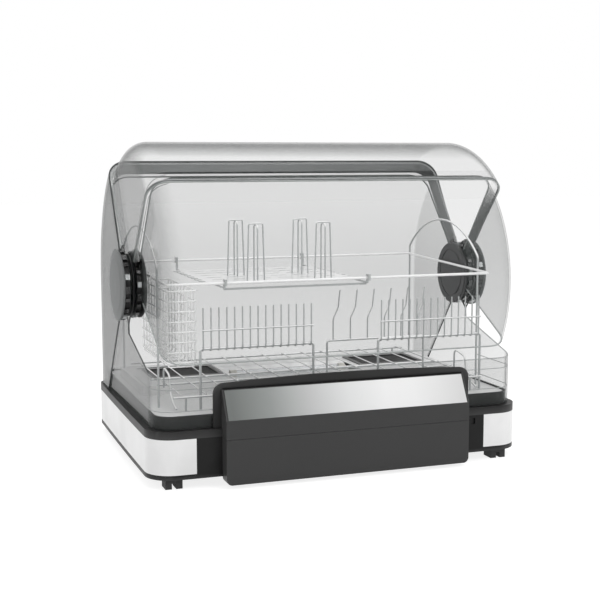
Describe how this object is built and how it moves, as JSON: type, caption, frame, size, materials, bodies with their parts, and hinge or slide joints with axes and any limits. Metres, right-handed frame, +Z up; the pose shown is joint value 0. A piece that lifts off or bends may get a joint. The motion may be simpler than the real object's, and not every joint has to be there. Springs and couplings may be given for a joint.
{
  "type": "dish sterilizer cabinet",
  "caption": "Countertop dish drying and sterilizing cabinet with turning clear covers, a drawer under a mirror control panel and white wire racks.",
  "frame": {"origin": "on the table under the middle of the cabinet's bounding box", "axes": "+X to the right along the width and the hub axis, +Y to the back, +Z up"},
  "size_m": [0.588, 0.43, 0.4726],
  "materials": {
    "body_black": "fine satin moulded",
    "console_black": "satin",
    "clear_cover": "clear, polished",
    "smoked_bow": "smoked, polished",
    "silver_band": "satin silver white",
    "mirror_panel": "polished",
    "white_plastic": "satin",
    "white_wire": "gloss coated wire",
    "hub_grey": "satin",
    "cap_silver": "satin silver",
    "steel": "bright",
    "rubber_black": "matte",
    "lamp_glass": "clear quartz",
    "board_green": "solder mask",
    "heater_aluminium": "raw fins",
    "fan_black": "moulded",
    "lamp_ceramic": "moulded socket"
  },
  "bodies": {
    "cabinet": {"base_housing": "body_black", "base_deck": "body_black", "trim_band_left": "silver_band", "trim_band_right": "silver_band", "feet": "rubber_black", "case_screws": "steel", "console_housing": "console_black", "control_panel": "mirror_panel", "control_board": "board_green", "drawer_runner_left": "white_plastic", "drawer_runner_right": "white_plastic", "rear_shell": "clear_cover", "lower_guard": "clear_cover", "rear_bow": "smoked_bow", "hub_disc_left": "hub_grey", "hub_disc_right": "hub_grey", "hub_cap_left": "cap_silver", "hub_cap_right": "cap_silver", "hub_drums": "hub_grey", "hub_washers": "hub_grey", "hub_backs": "hub_grey", "hub_bolts": "steel", "floor_tray": "white_plastic", "air_grille_left": "body_black", "air_grille_right": "body_black", "air_duct": "white_plastic", "heater_block": "heater_aluminium", "fan_frame": "fan_black", "fan_motor": "steel", "uv_lamp": "lamp_glass", "lamp_holders": "lamp_ceramic", "power_board": "board_green", "power_inlet": "body_black", "end_frame_left": "white_wire", "end_frame_right": "white_wire", "upper_rail": "white_wire", "bowl_rack_left": "white_wire", "bowl_rack_right": "white_wire", "plate_rack": "white_wire", "floor_rack": "white_wire"},
    "front_cover": {"front_cover": "clear_cover"},
    "top_cover": {"top_cover": "clear_cover", "front_bow": "smoked_bow"},
    "drawer": {"drawer_front": "console_black", "drawer_tray": "white_plastic"},
    "fan": {"fan_impeller": "fan_black"},
    "cup_shelf": {"cup_shelf": "white_wire", "cup_prongs": "white_wire"},
    "cutlery_basket": {"cutlery_basket": "white_wire"}
  },
  "joints": [
    {"name": "front_cover_turn", "type": "hinge", "parent": "cabinet", "child": "front_cover", "pos_m": [0, -0.0094, 0.264], "axis": [-1, 0, 0], "range_deg": [0, 72]},
    {"name": "top_cover_turn", "type": "hinge", "parent": "cabinet", "child": "top_cover", "pos_m": [0, -0.0094, 0.264], "axis": [-1, 0, 0], "range_deg": [0, 60]},
    {"name": "drawer_slide", "type": "slide", "parent": "cabinet", "child": "drawer", "axis": [0, -1, 0], "range_m": [0, 0.115]},
    {"name": "fan_spin", "type": "hinge", "parent": "cabinet", "child": "fan", "pos_m": [0.1725, 0.0735, 0.038], "axis": [0, 0, 1], "continuous": true},
    {"name": "shelf_slide", "type": "slide", "parent": "cabinet", "child": "cup_shelf", "axis": [1, 0, 0], "range_m": [0, 0.12]},
    {"name": "basket_lift", "type": "slide", "parent": "cabinet", "child": "cutlery_basket", "axis": [0, 0, 1], "range_m": [0, 0.03]}
  ]
}
